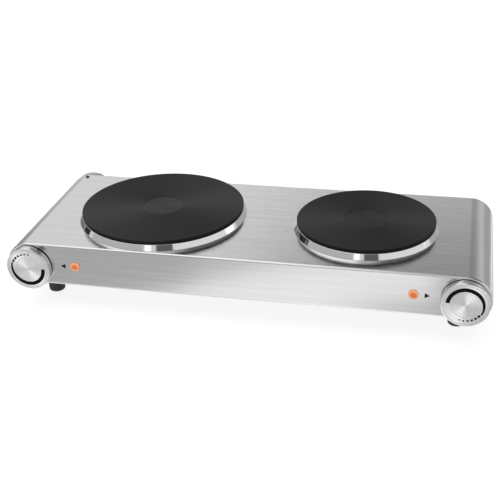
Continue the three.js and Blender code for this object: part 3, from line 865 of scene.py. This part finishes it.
# %% [markdown]
# ## Studio
# A plain white floor, a pale room, and one soft box above. Polished metal shows its surroundings,
# so pale and dark cards stand where its edges need drawing, as in a studio for still lifes. The
# cards are painted into the light of the room, each as a soft-edged patch of directions.

# %% Floor
floor_mesh = bmesh.new()
bmesh.ops.create_grid(floor_mesh, x_segments=1, y_segments=1, size=6000)
floor = mesh_object(floor_mesh, "floor")
floor.data.materials.append(surface(
    "pale_floor", Base_Color=grey(0.13), Roughness=0.9,
    Emission_Color=grey(1.0), Emission_Strength=0.87,
))
floor.visible_glossy = False  # the metals see the cards below instead
print("the floor is at height", floor.location.z)

# %% The room, as light from each direction
DEGREES = 180 / math.pi
room = bpy.data.worlds.new("studio")
bpy.context.scene.world = room
room.use_nodes = True
sky = Finish(room.node_tree)
toward = sky.node("TexCoord", output="Generated")
east, north, up = (sky.node("SeparateXYZ", inputs={0: toward}, output=i) for i in range(3))
height = up.math("ARCSINE", up) * DEGREES
bearing = east.math("ARCTAN2", east, north * -1) * DEGREES  # 0 in front, +90 on the right
behind = east.math("ARCTAN2", east, north) * DEGREES  # 0 behind, +90 on the right

# %% [markdown]
# A card is a range of heights and of one other angle. Most stand upright. Two angles lean, because
# the edges of their cards are seen slanting in the sheet.

# %% The cards
slanting = bearing - 5.5 * (height + 29.35)  # a bearing whose lines lean to the right
receding = behind + 1.2 * (height - 28.4)  # the same behind the object, leaning to the left
lean = east.math("ARCSINE", east) * DEGREES  # 0 in the upright plane through Y, +90 on the right

# [which angle, from, to, softness, lowest, highest, softness, brightness]
cards = [
    (receding, -60, -10, 1.5, 8, 60, 4, 0.93),  # pale wall behind on the left
    (behind, -60, -25, 2, -26, 6, 2, 0.58),
    (behind, -26, 4, 2, -60, -2, 3, 1.4),  # bright gap under it
    (receding, -10, 130, 1.5, 25.5, 50, 1, 0.27),  # grey wall behind on the right
    (receding, -10, 40, 1.5, 14, 25.5, 1, 0.75),
    (behind, 4, 60, 2, 19, 25.5, 1, 0.34),
    (behind, 4, 60, 2, 9, 17, 1.5, 0.74),  # narrow lamp behind on the right
    (behind, 4, 60, 2, -20, 8, 1.5, 0.45),
    (behind, 0, 60, 2, -80, -24, 2, 0.6),
    (bearing, -143, -114, 3, -14, 17, 3, 0.2),  # dark cards at the left
    (bearing, -113, -99, 1, -6, 15, 3, 0.03),
    (bearing, -101, -93, 1, 9, 18, 2, 0.03),
    (bearing, -92, -14, 1, -12, 36, 4, 0.51),  # grey card in front on the left
    (bearing, -12, -3, 1, 26, 38, 2, 1.3),  # small lamp
    (bearing, 4, 27, 1, 24, 42, 3, 0.12),  # dark card by the camera
    (bearing, 29, 119, 3, -10, 38, 4, 0.82),  # white wall on the right
    (bearing, 107, 128, 2, 10.5, 17, 1, 1.4),
    (bearing, 40, 180, 8, 40, 80, 6, 0.2),  # dark ceiling on the right
    (lean, -90, -6, 4, 46, 100, 6, 1.5),  # bright ceiling on the left
    (bearing, -120, -17, 0.8, -80, -17, 4, 0.57),  # table in front on the left
    (slanting, -17, 120, 0.8, -80, -17, 4, 1.25),  # table in front on the right
    (bearing, -5.5, 90, 4, -80, -30.4, 0.3, 0.7),
    (bearing, -0.8, 90, 0.8, -80, -17, 4, 0.62),
    (bearing, -48, -30, 3, -21, -4, 4, 1.7),  # pairs of lights, which draw the fans on the knobs
    (bearing, -22, -6, 3, -75, -42, 4, 1.7),
    (bearing, 3, 18, 3, -21, -4, 4, 1.75),
    (bearing, -14, 0, 3, -75, -42, 4, 1.75),
]

# %% Paint the cards into the room
ROOM_LEVEL = 0.7
light = ROOM_LEVEL
for angle, start, end, soft, lowest, highest, fade, level in cards:
    mask = sky.smooth(angle, start - soft, start + soft)
    mask = mask * (1 - sky.smooth(angle, end - soft, end + soft))
    mask = mask * sky.smooth(height, lowest - fade, lowest + fade)
    mask = mask * (1 - sky.smooth(height, highest - fade, highest + fade))
    light = light + mask * (level - light)
seen = sky.node("LightPath")  # 1 for what the camera sees itself, which is plain white
light = light + seen * (1 - light)
backdrop = room.node_tree.nodes["Background"]
plug(room.node_tree, backdrop.inputs["Color"], sky.joined(light, light, light))
bpy.context.scene.view_settings.view_transform = "Standard"
print(len(cards), "cards round the object")


# %% Soft box above
lamp = bpy.data.lights.new("box_above", "AREA")
lamp.shape, lamp.size, lamp.size_y, lamp.energy = "RECTANGLE", 3.0, 3.0, 75
box = bpy.data.objects.new("box_above", lamp)
box.location = (0.0, 0.1, 2.2)
box.rotation_mode = "QUATERNION"
box.rotation_quaternion = (-box.location).to_track_quat("-Z", "Y")  # towards the origin
box.visible_camera = box.visible_glossy = False
bpy.context.scene.collection.objects.link(box)
print(box.name, "gives", lamp.energy, "W")

# %% [markdown]
# ## Camera
# The camera stands to the right of the middle and looks down at about 28 degrees.

# %% Camera
YAW, PITCH, ROLL = 0.2340, 0.4809, 0.0351  # radians
SENSOR = 36.0
LENS = 1.926 * SENSOR
STAND = Vector((222.49, -972.98, 561.22)) / MM
camera_data = bpy.data.cameras.new("camera")
camera_data.sensor_width, camera_data.lens = SENSOR, LENS
camera = bpy.data.objects.new("camera", camera_data)
ahead = Vector((-math.sin(YAW) * math.cos(PITCH), math.cos(YAW) * math.cos(PITCH),
                -math.sin(PITCH)))
sideways = Vector((math.cos(YAW), math.sin(YAW), 0))
down = ahead.cross(sideways)
right = math.cos(ROLL) * sideways + math.sin(ROLL) * down
over = math.sin(ROLL) * sideways - math.cos(ROLL) * down
turn = Matrix((right, over, -ahead)).transposed().to_4x4()
camera.matrix_world = Matrix.Translation(STAND) @ turn
bpy.context.scene.collection.objects.link(camera)
bpy.context.scene.camera = camera
print("camera at", [round(c, 3) for c in camera.location])
